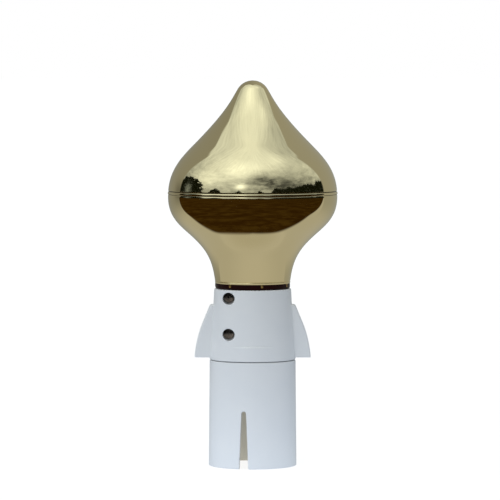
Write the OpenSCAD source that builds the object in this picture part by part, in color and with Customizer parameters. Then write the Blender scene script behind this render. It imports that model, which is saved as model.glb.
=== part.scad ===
// Flagpole top: a slotted sleeve for the pole, a swivelling halyard head made of two
// screwed half shells with a rope sheave on each side, and an onion-shaped finial.
// Millimetres. +Z is up, the origin is the centre of the sleeve's lower rim, and the
// halyard hoods stand out along X. The head's two screw faces look along Y.

/* [Pole sleeve] */
// Bore that slides over the top of the pole
pole_d = 60; // [58:0.5:61]
// Height of the sleeve
sleeve_h = 80; // [78:0.5:80]
// Outer diameter at the sleeve's upper rim
sleeve_top_d = 65; // [64:0.5:65]
// Outer diameter at the sleeve's lower rim
sleeve_foot_d = 66.4; // [66:0.2:68]
// How far the pole goes in
socket_h = 52; // [48:1:52]
// Height of the slot in the lower rim
slot_h = 43.5; // [30:0.5:45]
// Width of the slot at its round upper end
slot_top_w = 3.6; // [2:0.1:5]
// Width of the slot at the rim
slot_foot_w = 6.9; // [5:0.1:9]
// How far the slot is turned from the head's front face, in degrees
slot_turn = -12; // [-60:1:60]

/* [Halyard head] */
// Height of the head's top face
head_top_z = 134.1; // [134:0.1:135]
// Diameter of the head's top face
head_top_d = 58.2; // [57:0.2:59]
// Diameter where the upper and lower cones meet
head_mid_d = 59.3; // [59:0.1:61]
// Gap between the sleeve's rim and the head
swivel_gap = 0.6; // [0.4:0.1:1]
// Wall of the half shells
shell_wall = 2.6; // [2:0.1:3]
// Thickness of a halyard hood across Y
hood_w = 13.2; // [13:0.1:14]
// How far a hood reaches from the axis at its foot
hood_reach = 43.95; // [43:0.05:45]
// Height of the hood's open foot
hood_foot_z = 82.2; // [82:0.1:83]
// Height of the hood's shoulder
hood_top_z = 122; // [121:0.1:123]
// Lean of the hood's straight upper edge, in degrees
hood_lean = 22.5; // [21:0.5:23]
// Radius of the hood's curved lower edge
hood_curve_r = 82.5; // [78:0.5:88]

/* [Sheaves and screws] */
// Distance of the sheave axles and screws from the axis
axle_x = 18; // [17.8:0.1:18.5]
// Height of the sheave axles
axle_z = 100.6; // [100:0.1:101]
// Height of the upper screws
upper_screw_z = 127.6; // [127:0.1:128]
// Diameter of a sheave's rim
sheave_d = 34.8; // [33:0.1:35]
// Width of a sheave
sheave_w = 9; // [8:0.1:9.2]
// Diameter of the halyard
rope_d = 6; // [5:0.5:6]
// Diameter of the screw wells in the half shells
well_d = 9; // [8.5:0.1:9.4]
// Length of a case screw under its head
screw_len = 22; // [20:1:22]

/* [Finial] */
// Height of the finial's tip
finial_top_z = 291.4; // [285:0.2:295]
// Radius of the finial's rounded tip
nose_r = 13.1; // [12:0.1:14]
// Largest radius of the finial
belly_r = 64; // [62:0.5:66]
// Height of the largest radius
belly_z = 203.8; // [200:0.2:205]
// Height of the joint between the two finial shells
seam_z = 205.6; // [205:0.1:207]
// Radius at the bottom of the neck
neck_r = 28.3; // [28:0.1:29]
// Height of the bottom of the neck
neck_z = 138.2; // [138:0.1:139]
// Wall of the finial shells
finial_wall = 2; // [1.6:0.1:2.4]

/* [Hidden] */
$fn = 96;
over = 1;                       // how far a cut runs past a face
head_foot_z = sleeve_h + swivel_gap;
big = 200;                      // side of the half-space blocks

// Swivel: the head's floor turns round a post that stands in the sleeve's cup.
deck_z = socket_h + 4;          // top of the plate that stops the pole
cup_r = 29.3;
post_r = 12;
running_gap = 0.08;             // radial play of the floor on the post and of a sheave on its bush
bolt_well_r = 8;
bolt_seat_z = deck_z + 2;
washer_t = 1.5;
floor_gap = 0.2;
floor_z = deck_z + washer_t + floor_gap;
floor_t = 5;
post_z = floor_z + floor_t + 0.5;
skirt_r = cup_r - 0.4;
skirt_wall = 2.5;

// Standard M8 and M4 hardware
m8_r = 4;
m8_hole_r = 4.2;
m8_across_flats = 13;
m8_head_h = 5.3;
m8_nut_h = 6.5;
m8_locknut_h = 8;
m8_washer_t = 1.6;
m8_washer_r = 8;
cap_washer_t = 2;
cap_washer_r = 17;
screw_r = 1.95;
screw_hole_r = 2.2;
pilot_r = 2;
screw_head_r = 4;
screw_head_h = 3;
recess_depth = 1.8;
recess_span = 4.6;
recess_w = 0.9;

// Bosses inside the head
well_boss_r = 6.4;
pilot_boss_r = 5;
axle_face_y = 5.1;              // the bosses hold each bush between these faces
seat_t = 2.5;                   // plastic under a screw head
pilot_depth = 20.3;             // end of the pilot holes from the parting plane
top_plate_t = 4.1;
head_mid_z = 123;
land_z = 92.1;                  // top of the shallow land over the swivel
land_r = 28;
land_y = 4.4;

// Sheaves
bush_r = 4;
sheave_bore_r = bush_r + running_gap;
groove_r = rope_d / 2 + 0.2;
groove_floor_r = sheave_d / 2 - 4;
passage_w = 10;                 // slot for the rope and the sheave's rim
pocket_r = groove_floor_r + rope_d + 0.8;
pocket_floor_z = 84;
hood_wall = 1.8;

// Finial curve: inflections above and below the belly, with the lean there in degrees
tip_lean = 31;
flank_r = 44.3;
flank_z = 243.1;
flank_lean = 44.6;
waist_r = 47.8;
waist_z = 175.3;
waist_lean = 48.4;
neck_lean = 6;
curve_steps = 16;
lap_h = 5;                      // the lower shell's tongue inside the upper shell
lap_t = 1;
bead_h = 2;                     // raised bead on the upper shell's rim
bead_out = 0.2;
bead_groove_w = 0.6;            // the groove over the bead
bead_groove_deep = 0.3;
tab_count = 7;                  // gold tabs of the neck that lock the base plug
tab_w = 1.9;
tab_h = 2.4;
tab_t = 0.7;
tab_turn = -37;
plug_rim_r = neck_r - 1.1;      // lower edge of the plug's rounded rim
plug_boss_r = 10;
plug_seat_z = 141.6;
plug_top_z = 148;
plug_wall = 2;

function at(r, a) = [r * cos(a), r * sin(a)];
// Unit direction that runs downward and leans outward by a degrees
function down(a) = [sin(a), -cos(a)];
function bezier(p, q, r, s, t) =
    pow(1 - t, 3) * p + 3 * pow(1 - t, 2) * t * q + 3 * (1 - t) * t * t * r + pow(t, 3) * s;
// Unit normal of a point of a path, pointing to the path's left, away from the axis going down
function side(path, i) =
    let (d = path[min(i + 1, len(path) - 1)] - path[max(i - 1, 0)])
    [-d[1], d[0]] / norm(d);
function inset(path, t) = [for (i = [0 : len(path) - 1]) path[i] - t * side(path, i)];
function reversed(path) = [for (i = [len(path) - 1 : -1 : 0]) path[i]];
// The points of a path that lie between two heights, with the path cut level at both
function cut_at(path, z) = let (hits = [
        for (i = [0 : len(path) - 2])
        let (a = path[i], b = path[i + 1])
        if (a[1] >= z && b[1] <= z && a[1] > b[1]) a + (b - a) * (a[1] - z) / (a[1] - b[1])
    ]) hits[0];
function between(path, high, low) = concat(
    [cut_at(path, high)],
    [for (p = path) if (p[1] < high - 0.05 && p[1] > low + 0.05) p],
    [cut_at(path, low)]);

// Outside of the finial, from the tip down to the neck
nose_centre = [0, finial_top_z - nose_r];
nose = [for (a = [90 : -7.375 : tip_lean]) nose_centre + at(nose_r, a)];
shoulder = nose_centre + at(nose_r, tip_lean);
flank = [flank_r, flank_z];
belly = [belly_r, belly_z];
waist = [waist_r, waist_z];
neck = [neck_r, neck_z];
function stretch(a, a_lean, a_pull, b, b_lean, b_pull) =
    [for (i = [1 : curve_steps])
        bezier(a, a + a_pull * down(a_lean), b - b_pull * down(b_lean), b, i / curve_steps)];
finial_line = concat(
    nose,
    stretch(shoulder, tip_lean, 10, flank, flank_lean, 35.5),
    stretch(flank, flank_lean, 15.7, belly, 0, 18.5),
    stretch(belly, 0, 14.8, waist, -waist_lean, 11),
    stretch(waist, -waist_lean, 16.9, neck, -neck_lean, 18));
// The same curve inside the wall, run on past both ends so that it can be cut level
finial_inside = concat([[0, finial_top_z - finial_wall]],
    [for (p = inset(finial_line, finial_wall)) if (p[0] > 0.3) p]);
neck_inner_r = neck_r - finial_wall;

module half_space(side_y) {
    translate([-big / 2, side_y < 0 ? -big : 0, 0]) cube([big, big, big]);
}

module along_y(x, y, z) {
    translate([x, y, z]) rotate([-90, 0, 0]) children();
}

module hexagon(h, across) {
    cylinder(h = h, r = across / 2 / cos(30), $fn = 6);
}

module ring(z, h, outer, inner) {
    translate([0, 0, z]) difference() {
        cylinder(h = h, r = outer);
        translate([0, 0, -over]) cylinder(h = h + 2 * over, r = inner);
    }
}

// ---- Pole sleeve ----

module slot_cut() {
    end_r = slot_top_w / 2;
    rotate([0, 0, slot_turn]) translate([0, -pole_d / 2 + 10, 0]) rotate([90, 0, 0]) {
        linear_extrude(height = 20) polygon([
            [-slot_foot_w / 2, -over], [slot_foot_w / 2, -over],
            [end_r, slot_h - end_r], [-end_r, slot_h - end_r]]);
        translate([0, slot_h - end_r, 0]) cylinder(h = 20, r = end_r);
    }
}

module pole_sleeve() {
    bore_r = pole_d / 2;
    lead = 0.8;
    color("aliceblue") difference() {
        rotate_extrude() polygon([
            [bore_r + lead, 0], [sleeve_foot_d / 2 - 0.3, 0], [sleeve_foot_d / 2, 0.3],
            [sleeve_top_d / 2, sleeve_h - 0.4], [sleeve_top_d / 2 - 0.4, sleeve_h],
            [cup_r, sleeve_h], [cup_r, deck_z], [post_r, deck_z], [post_r, post_z],
            [m8_hole_r, post_z], [m8_hole_r, bolt_seat_z], [bolt_well_r, bolt_seat_z],
            [bolt_well_r, socket_h], [bore_r, socket_h], [bore_r, lead]]);
        slot_cut();
    }
}

module swivel_thrust_washer() {
    color("ivory") ring(deck_z, washer_t, skirt_r - 4, post_r + 0.3);
}

module swivel_cap_washer() {
    color("silver") ring(post_z, cap_washer_t, cap_washer_r, m8_hole_r);
}

module swivel_bolt() {
    shank = 16;
    color("silver") {
        translate([0, 0, bolt_seat_z - m8_head_h]) hexagon(m8_head_h, m8_across_flats);
        translate([0, 0, bolt_seat_z]) cylinder(h = shank, r = m8_r);
    }
}

module nut(z, h) {
    color("silver") translate([0, 0, z]) difference() {
        hexagon(h, m8_across_flats);
        translate([0, 0, -over]) cylinder(h = h + 2 * over, r = m8_r + 0.05);
    }
}

module swivel_nut() {
    nut(post_z + cap_washer_t, m8_locknut_h);
}

// ---- Halyard head ----

// Outer edge of a hood, from its foot up to its shoulder, moved inward by t
function hood_edge(t) =
    let (foot_lean = 3.8,
         centre = [hood_reach, hood_foot_z] - at(hood_curve_r, foot_lean),
         knee = centre + at(hood_curve_r - t, hood_lean),
         top = hood_top_z - t,
         steps = 8)
    concat(
        [for (i = [0 : steps])
            centre + at(hood_curve_r - t, foot_lean + (hood_lean - foot_lean) * i / steps)],
        [[knee[0] - (top - knee[1]) * tan(hood_lean), top]]);

module hood_blade() {
    root_x = 20;
    edge = hood_edge(0);
    rotate([90, 0, 0]) translate([0, 0, -hood_w / 2]) linear_extrude(height = hood_w)
        polygon(concat([[root_x, hood_foot_z]], edge, [[root_x, hood_top_z]]));
}

// The rope's way between the head's wall and the hood, open at the foot
module hood_passage() {
    root_x = sleeve_top_d / 2 + 0.3;
    edge = hood_edge(hood_wall);
    top = edge[len(edge) - 1];
    rotate([90, 0, 0]) translate([0, 0, -passage_w / 2]) linear_extrude(height = passage_w)
        polygon(concat(
            [[root_x, hood_foot_z - over], [edge[0][0], hood_foot_z - over]], edge,
            [[axle_x + 8, top[1]], [axle_x + 8, pocket_floor_z], [root_x, pocket_floor_z]]));
}

// Room round a sheave and the rope on it
module sheave_pocket() {
    intersection() {
        along_y(axle_x, -passage_w / 2, axle_z) cylinder(h = passage_w, r = pocket_r);
        translate([0, -passage_w / 2, pocket_floor_z]) cube([big, passage_w, big]);
    }
}

module both_sides() {
    children();
    mirror([1, 0, 0]) children();
}

module head_solid() {
    rotate_extrude() polygon([
        [0, floor_z], [skirt_r, floor_z], [skirt_r, head_foot_z],
        [sleeve_top_d / 2, head_foot_z], [head_mid_d / 2, head_mid_z],
        [head_top_d / 2, head_top_z - 0.5], [head_top_d / 2 - 0.5, head_top_z],
        [0, head_top_z]]);
    both_sides() hood_blade();
    translate([0, -land_y, head_foot_z]) cylinder(h = land_z - head_foot_z, r = land_r);
}

module head_hollow() {
    shelf_z = head_foot_z + shell_wall;
    rotate_extrude() polygon([
        [0, floor_z + floor_t], [skirt_r - skirt_wall, floor_z + floor_t],
        [skirt_r - skirt_wall, shelf_z], [sleeve_top_d / 2 - shell_wall - 0.2, shelf_z],
        [head_mid_d / 2 - shell_wall, head_mid_z],
        [head_top_d / 2 - shell_wall, head_top_z - top_plate_t],
        [0, head_top_z - top_plate_t]]);
}

// Posts that stand from the front wall: wells for the screws on the left, pilots on the right
module bosses() {
    along_y(-axle_x, -big / 4, upper_screw_z) cylinder(h = big / 4, r = well_boss_r);
    along_y(-axle_x, -big / 4, axle_z) cylinder(h = big / 4 - axle_face_y, r = well_boss_r);
    along_y(axle_x, -big / 4, upper_screw_z) cylinder(h = big / 4, r = pilot_boss_r);
    along_y(axle_x, -big / 4, axle_z) cylinder(h = big / 4 - axle_face_y, r = pilot_boss_r);
}

module screw_well(z, seat_y) {
    along_y(-axle_x, -big / 4, z) cylinder(h = big / 4 - seat_y, r = well_d / 2);
    along_y(-axle_x, -seat_y - over, z) cylinder(h = seat_y + over + over, r = screw_hole_r);
}

module pilot_hole(z) {
    along_y(axle_x, -pilot_depth, z) cylinder(h = pilot_depth + over, r = pilot_r);
}

// The front half; the rear half is the same moulding turned round
module half_shell() {
    difference() {
        intersection() {
            head_solid();
            half_space(-1);
        }
        difference() {
            head_hollow();
            bosses();
        }
        both_sides() {
            hood_passage();
            sheave_pocket();
        }
        screw_well(upper_screw_z, seat_t);
        screw_well(axle_z, axle_face_y + seat_t);
        pilot_hole(upper_screw_z);
        pilot_hole(axle_z);
        translate([0, 0, floor_z - over])
            cylinder(h = floor_t + 2 * over, r = post_r + running_gap);
        translate([0, 0, head_top_z - top_plate_t - over])
            cylinder(h = top_plate_t + 2 * over, r = m8_hole_r);
    }
}

module head_front_shell() {
    color("aliceblue") half_shell();
}

module head_rear_shell() {
    color("aliceblue") rotate([0, 0, 180]) half_shell();
}

module case_screw(z, seat_y) {
    color("dimgray") difference() {
        union() {
            along_y(-axle_x, -seat_y - screw_head_h, z) cylinder(h = screw_head_h, r = screw_head_r);
            along_y(-axle_x, -seat_y, z) cylinder(h = screw_len, r = screw_r);
        }
        for (turn = [45, 135])
            translate([-axle_x, -seat_y - screw_head_h - over, z]) rotate([0, turn, 0])
                translate([-recess_span / 2, 0, -recess_w / 2])
                    cube([recess_span, recess_depth + over, recess_w]);
    }
}

module front_screw_upper() {
    case_screw(upper_screw_z, seat_t);
}

module front_screw_lower() {
    case_screw(axle_z, axle_face_y + seat_t);
}

module rear_screw_upper() {
    rotate([0, 0, 180]) front_screw_upper();
}

module rear_screw_lower() {
    rotate([0, 0, 180]) front_screw_lower();
}

// ---- Sheaves ----

module sheave_bush(x) {
    color("goldenrod") difference() {
        along_y(x, -axle_face_y, axle_z) cylinder(h = 2 * axle_face_y, r = bush_r);
        along_y(x, -axle_face_y - over, axle_z)
            cylinder(h = 2 * (axle_face_y + over), r = screw_hole_r);
    }
}

module left_sheave_bush() {
    sheave_bush(-axle_x);
}

module right_sheave_bush() {
    sheave_bush(axle_x);
}

// A hub, a thinner web and a rim with a round rope groove
module sheave(x) {
    rim_r = sheave_d / 2;
    hub_r = sheave_bore_r + 3;
    web_half = sheave_w / 2 - 1.4;
    lip = 0.6;
    half = [
        [sheave_bore_r, sheave_w / 2], [hub_r, sheave_w / 2], [hub_r + 0.8, web_half],
        [groove_floor_r - 3, web_half], [groove_floor_r - 2.2, sheave_w / 2],
        [rim_r, sheave_w / 2], [rim_r, sheave_w / 2 - lip]];
    groove = [for (a = [78 : -12 : 0])
        [groove_floor_r + groove_r - groove_r * cos(a), groove_r * sin(a)]];
    upper = concat(half, groove);
    lower = [for (p = reversed(upper)) if (p[1] > 0.01) [p[0], -p[1]]];
    color("whitesmoke") along_y(x, 0, axle_z) rotate_extrude() polygon(concat(upper, lower));
}

module left_sheave() {
    sheave(-axle_x);
}

module right_sheave() {
    sheave(axle_x);
}

// ---- Finial ----

module tabs(extra) {
    for (i = [0 : tab_count - 1])
        rotate([0, 0, tab_turn + i * 360 / tab_count])
            translate([-tab_w / 2 - extra, -neck_r - 0.15 - extra, neck_z - tab_h - extra])
                cube([tab_w + 2 * extra, tab_t + 2 * extra, tab_h + 2 * extra + 0.2]);
}

// The visible dark rim under the neck, the plug glued into the neck and the bolt's hex seat
module finial_base_plug() {
    rim_curve = [for (i = [0 : 5])
        [plug_rim_r + (neck_r - plug_rim_r) * sin(i * 18), head_top_z + 2 * (1 - cos(i * 18))]];
    plug_r = neck_inner_r - 0.1;
    color("saddlebrown") difference() {
        rotate_extrude() polygon(concat(
            [[m8_hole_r, head_top_z]], rim_curve,
            [[neck_r, neck_z], [plug_r, neck_z], [plug_r, plug_top_z],
             [plug_r - plug_wall, plug_top_z], [plug_r - plug_wall, neck_z],
             [plug_boss_r, neck_z], [plug_boss_r, plug_seat_z + m8_head_h],
             [m8_hole_r, plug_seat_z + m8_head_h]]));
        translate([0, 0, plug_seat_z]) hexagon(m8_head_h + over, m8_across_flats + 0.2);
        tabs(0.05);
    }
}

module finial_bolt() {
    shank = 25;
    color("silver") {
        translate([0, 0, plug_seat_z]) hexagon(m8_head_h, m8_across_flats);
        translate([0, 0, plug_seat_z - shank]) cylinder(h = shank, r = m8_r);
    }
}

module finial_washer() {
    color("silver") ring(head_top_z - top_plate_t - m8_washer_t, m8_washer_t, m8_washer_r, m8_hole_r);
}

module finial_nut() {
    nut(head_top_z - top_plate_t - m8_washer_t - m8_nut_h, m8_nut_h);
}

module finial_lower_shell() {
    outer = between(finial_line, seam_z, neck_z);
    inner = between(finial_inside, seam_z, neck_z + 1);
    lap_r = inner[0][0] + lap_t;
    color("gold") union() {
        rotate_extrude() polygon(concat(
            [[lap_r, seam_z], [lap_r, seam_z + lap_h], [inner[0][0], seam_z + lap_h]],
            inner, [[neck_inner_r, neck_z]], reversed(outer)));
        tabs(0);
    }
}

module finial_upper_shell() {
    bead_z = seam_z + bead_h;
    outer = between(finial_line, finial_top_z, bead_z + bead_groove_w);
    bead_r = cut_at(finial_line, bead_z)[0];
    rim_r = cut_at(finial_line, seam_z)[0];
    inner = between(finial_inside, finial_top_z - finial_wall, seam_z + lap_h + 0.5);
    foot = between(finial_inside, finial_top_z - finial_wall, seam_z);
    lap_r = foot[len(foot) - 1][0] + lap_t + 0.05;
    color("gold") rotate_extrude() polygon(concat(
        [[0, finial_top_z]], [for (p = outer) if (p[0] > 0.3) p],
        [[bead_r - bead_groove_deep, bead_z + bead_groove_w], [bead_r - bead_groove_deep, bead_z]],
        [[bead_r + bead_out, bead_z], [rim_r + bead_out, seam_z]],
        [[lap_r, seam_z], [lap_r, seam_z + lap_h + 0.5]],
        reversed([for (p = inner) if (p[0] > 0.3) p]), [[0, finial_top_z - finial_wall]]));
}

pole_sleeve();
swivel_thrust_washer();
swivel_cap_washer();
swivel_bolt();
swivel_nut();
head_front_shell();
head_rear_shell();
front_screw_upper();
front_screw_lower();
rear_screw_upper();
rear_screw_lower();
left_sheave_bush();
right_sheave_bush();
left_sheave();
right_sheave();
finial_base_plug();
finial_bolt();
finial_washer();
finial_nut();
finial_lower_shell();
finial_upper_shell();
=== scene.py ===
"""Looks for a flagpole top: a slotted white sleeve, a swivelling halyard head with two hooded
sheaves, and a mirror-bright gold onion finial on a dark, glossy base plug.

Shapes are worked out in millimetres and made into meshes in metres. Moulded parts are skinned
from distance fields, so that every edge is rounded; turned parts are lathed from an outline.
"""
import math
from functools import partialmethod

import bpy
import mathutils
import numpy as np
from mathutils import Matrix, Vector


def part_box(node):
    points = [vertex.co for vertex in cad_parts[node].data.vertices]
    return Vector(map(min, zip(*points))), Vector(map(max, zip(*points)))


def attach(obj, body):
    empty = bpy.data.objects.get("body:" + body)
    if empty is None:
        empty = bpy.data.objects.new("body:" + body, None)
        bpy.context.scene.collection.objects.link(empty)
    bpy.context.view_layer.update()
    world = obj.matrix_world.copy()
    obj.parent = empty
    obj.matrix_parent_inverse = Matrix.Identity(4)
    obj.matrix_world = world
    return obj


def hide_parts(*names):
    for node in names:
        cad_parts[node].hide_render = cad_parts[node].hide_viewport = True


MM = 0.001

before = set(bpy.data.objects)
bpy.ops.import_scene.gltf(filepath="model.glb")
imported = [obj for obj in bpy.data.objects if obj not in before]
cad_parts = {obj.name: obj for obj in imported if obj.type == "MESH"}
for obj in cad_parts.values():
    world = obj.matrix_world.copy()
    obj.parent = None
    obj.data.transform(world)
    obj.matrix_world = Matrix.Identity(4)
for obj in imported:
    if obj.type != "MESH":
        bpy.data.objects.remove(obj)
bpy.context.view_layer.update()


def corners(node):
    """The lowest and highest corner of a CAD node, in millimetres."""
    low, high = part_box(node)
    return np.array(low) / MM, np.array(high) / MM


# ---- Dimensions, in millimetres, kept as in the CAD ----

SLEEVE_H = corners("pole_sleeve")[1][2]
HEAD_LOW, HEAD_HIGH = corners("head_front_shell")
PLUG_LOW, PLUG_HIGH = corners("finial_base_plug")
UPPER_LOW, UPPER_HIGH = corners("finial_upper_shell")
SHEAVE_LOW, SHEAVE_HIGH = corners("right_sheave")
BUSH_LOW, BUSH_HIGH = corners("right_sheave_bush")

OVERLAP = 1.0  # how far one solid or cut runs on into the next
RUNNING_FIT = 0.08
SNUG_FIT = 0.1
ONE_SIDE = 20.0  # the slot and each hood keep at least this far from the axis

SLEEVE_FOOT_R = 33.2
SLEEVE_TOP_R = 32.5
BORE_R = 30.0
SOCKET_H = 52.0
DECK_Z = 56.0
CUP_R = 29.3
POST_R = 12.0
POST_Z = 63.2
BOLT_WELL_R = 8.0
BOLT_SEAT_Z = 58.0
SLOT_H = 43.5
SLOT_FOOT_W = 6.9
SLOT_TOP_W = 3.6
SLOT_TURN = math.radians(-12)

HEAD_FLOOR_Z = HEAD_LOW[2]
HEAD_TOP_Z = HEAD_HIGH[2]
HEAD_FOOT_Z = SLEEVE_H + 0.6
HEAD_MID_Z = 123.0
HEAD_MID_R = 29.65
HEAD_TOP_R = 29.1
HALVES_GAP = 0.06
SKIRT_R = 28.9
SKIRT_WALL = 2.5
SHELL_WALL = 2.6
FLOOR_T = 5.0
TOP_PLATE_T = 4.1
LAND_TOP_Z = 92.1
LAND_FOOT_Z = HEAD_FOOT_Z + 0.1
LAND_R = 28.0
LAND_Y = 4.4
LAND_BEVEL = 0.8
HOOD_HALF_W = 6.6
HOOD_FOOT_Z = 82.2
HOOD_TOP_Z = 122.0
HOOD_REACH = 43.95
HOOD_WALL = 1.8
HOOD_CURVE_R = 82.5
HOOD_FOOT_LEAN = math.radians(3.8)
HOOD_LEAN = math.radians(22.5)
POCKET_R = 20.2
POCKET_FLOOR_Z = 84.0
AXLE_X = 18.0
AXLE_Z = 100.6
AXLE_FACE_Y = 5.1
PASSAGE_HALF_W = 5.0
PASSAGE_FROM_X = AXLE_X + 8  # where the ropes' way out starts, over the pocket's floor
DROP_FROM_X = SLEEVE_TOP_R + 0.3

UPPER_SCREW_Z = 127.6
SCREW_SEAT_T = 2.5
SCREW_SEATS = (  # level of the case screws, and their seat's depth from the joint
    ("upper", UPPER_SCREW_Z, SCREW_SEAT_T), ("lower", AXLE_Z, AXLE_FACE_Y + SCREW_SEAT_T),
)
WELL_R = 4.5
WELL_BOSS_R = 6.4
PILOT_R = 2.0
PILOT_DEPTH = 20.3
PILOT_BOSS_R = 5.0
SCREW_HOLE_R = 2.2
SCREW_R = 1.95
SCREW_LEN = 22.0
SCREW_PITCH = 1.5
SCREW_THREAD_DEPTH = 0.45
SCREW_POINT_R = 0.9
SCREW_POINT_LEN = 2.5
SCREW_HEAD_R = 4.0
SCREW_HEAD_H = 3.0
SCREW_DOME_DROP = 2.6  # the dome's centre lies this far under the head
RECESS_DEPTH = 1.9
RECESS_ARM = 2.3
RECESS_ARM_HALF_W = 0.5
RECESS_ARM_TAPER = 0.12
RECESS_PIT_R = 1.15
RECESS_PIT_TAPER = 0.35
SHANK_ROOT = 0.5  # a shank starts this far inside its head

M8_R = 4.0
M8_HOLE_R = 4.2
M8_PITCH = 1.25
M8_THREAD_DEPTH = 0.65
M8_THREAD_FIT = 0.02
M8_POINT_R = 3.3
M8_POINT_LEN = 0.9
M8_HALF_FLATS = 6.5
M8_HALF_CORNERS = M8_HALF_FLATS / 0.866
M8_HALF_BOX = 7.6  # half the width of the box that is searched for a bolt or a nut
M8_HEAD_H = 5.3
M8_HEAD_CHAMFER = 0.9
M8_HEAD_FACE_R = 6.0
NUT_CHAMFER = 0.8
NUT_FACE_R = 6.1
NUT_BORE_FIT = 0.06
NUT_COLLAR_R = 5.9
LOCK_COLLAR_H = 1.5

SHEAVE_R = (SHEAVE_HIGH[2] - SHEAVE_LOW[2]) / 2
SHEAVE_HALF_W = (SHEAVE_HIGH[1] - SHEAVE_LOW[1]) / 2
SHEAVE_GROOVE_R = 3.2
SHEAVE_GROOVE_DEPTH = 4.0
SHEAVE_HUB_T = 3.0
SHEAVE_RIM_T = 2.2
SHEAVE_DISH = 1.4  # the web lies this far under the hub and the rim
SHEAVE_DISH_SLOPE = 0.8
SHEAVE_LIP = 0.6
BUSH_R = (BUSH_HIGH[2] - BUSH_LOW[2]) / 2
BUSH_HALF_LEN = (BUSH_HIGH[1] - BUSH_LOW[1]) / 2
WASHER_FIT = 0.3

FINIAL_TOP_Z = UPPER_HIGH[2]
SEAM_Z = UPPER_LOW[2]
NECK_Z = 138.2
NECK_R = 28.3
FINIAL_WALL = 2.0
NOSE_R = 13.1
NOSE_LEAN = 31.0
NOSE_PULL = 10.0
ONION = (  # (radius, height), outward lean, and the curve's pull on each side
    ((44.3, 243.1), 44.6, 35.5, 15.7),
    ((64.0, 203.8), 0, 18.5, 14.8),
    ((47.8, 175.3), -48.4, 11, 16.9),
    ((NECK_R, NECK_Z), -6.0, 18, 0),
)
NOSE_STEPS = 30
CURVE_STEPS = 56
STEP_LEAN = 0.05  # the little steps in the finial's outline lean by this much
FINIAL_EDGE_R = 0.14
METAL_DEPTH = 0.36  # faces deeper than this under the outside get the dark bare material: the shells' inside, and, as painted shade, the groove floor and the joint's gap
LAP_H = 5.0
LAP_T = 1.0
LAP_ROOM = 0.5
JOINT_FACE = 0.04  # the upper shell's edge stands this far over the seam's height
JOINT_GAP = 0.22
BEAD_H = 2.0  # raised bead on the upper shell's rim, and the groove over it
BEAD_OUT = 0.2
BEAD_LEAN = 0.12
BEAD_ROUNDNESS = 0.4
BEAD_FULLNESS = 0.6  # power of a cosine: the smaller, the squarer the bead
BEAD_GROOVE_W = 0.6
BEAD_GROOVE_DEPTH = 0.45
SHOULDER_H = 1.5  # the lower shell's edge turns in under the joint
SHOULDER_IN = 0.2
LIP_H = 1.5  # lip at the bottom of the neck, and the groove over it
LIP_OUT = 0.12
LIP_EDGE_H = 0.5
LIP_CHAMFER = (0.15, 0.3)
LIP_GROOVE_W = 0.35
LIP_GROOVE_DEPTH = 0.3
PLUG_SEAT_Z = 141.6
PLUG_BOSS_R = 10.0
PLUG_WALL = 2.0
PLUG_RIM_FIT = 0.02
TAB_COUNT = 7
TAB_W = 1.9
TAB_T = 0.9
TAB_H = 2.6
TAB_OUT = 0.12
TAB_ROOT = 0.2
TAB_TURN = math.radians(-37)
TAB_FACE = ((0.2, 0), (0.05, 0.06), (0, 0.2))  # depth under the tab's face, and shrinkage there

# How finely the pieces are meshed: grid pitches in millimetres, and columns round a lathed piece
SLEEVE_GRID = 0.7
SHELL_GRID = 0.6
PLUG_GRID = 0.4
M8_GRID = 0.3
SCREW_GRID = 0.26
FINIAL_COLUMNS = 320
SHEAVE_COLUMNS = 144
WASHER_COLUMNS = 128
BUSH_COLUMNS = 96
SETTLE_STEPS = 5             # moves that bring a skin's points onto the surface
LEAST_SQUARE = 0.05          # of a field's slope, where the slope is divided by
THREAD_SLOPE = 0.8           # keeps a thread's field from growing faster than distance
SHARP_TURN = math.radians(25)
SHARP_FOLD = math.radians(32)
MOST_OF_SIDE = 0.45


# ---- Distance fields: negative inside, in millimetres ----

def both(a, b, edge=0.0):
    """Where both fields are solid, with the outer edge between them rounded to radius edge."""
    corner = np.hypot(np.maximum(a + edge, 0), np.maximum(b + edge, 0))
    return np.minimum(np.maximum(a, b), -edge) + corner


def either(a, b, edge=0.0):
    """Where one field or the other is solid, with the inner corner filleted to that radius."""
    return -both(-a, -b, edge)


def without(a, b, edge=0.0):
    """Field a with b cut out of it, and the cut's edge rounded to that radius."""
    return both(a, -b, edge)


def slab(value, low, high):
    """Solid where value lies between low and high."""
    return np.abs(value - (low + high) / 2) - (high - low) / 2


def cone(radius, z, foot, top):
    """Solid inside the cone through two (radius, height) points."""
    run = top[0] - foot[0]
    rise = top[1] - foot[1]
    return ((radius - foot[0]) * rise - (z - foot[1]) * run) / math.hypot(run, rise)


def hexagon(x, y, half_flats):
    """Solid inside a hexagon whose flats lie half_flats from its centre."""
    sides = [np.abs(x * math.cos(a) + y * math.sin(a)) for a in (0, math.pi / 3, -math.pi / 3)]
    return np.maximum(np.maximum(sides[0], sides[1]), sides[2]) - half_flats


def turned(x, y, angle):
    """How far points lie across, and along, the direction to the front turned by an angle."""
    across = x * math.cos(angle) + y * math.sin(angle)
    outward = x * math.sin(angle) - y * math.cos(angle)
    return across, outward


def thread(x, y, z, major_r, depth, pitch):
    """A screw thread of round-topped V section about Z."""
    turn = (z / pitch - np.arctan2(y, x) / (2 * math.pi)) % 1
    ridge = np.abs(2 * turn - 1)
    return (np.hypot(x, y) - major_r + depth * (1 - ridge)) * THREAD_SLOPE


def slopes(field, points, step=0.02):
    """The field's gradient at each point."""
    out = np.empty_like(points)
    for axis in range(3):
        ahead = points.copy()
        behind = points.copy()
        ahead[:, axis] += step
        behind[:, axis] -= step
        out[:, axis] = (field(*ahead.T) - field(*behind.T)) / (2 * step)
    return out


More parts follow.
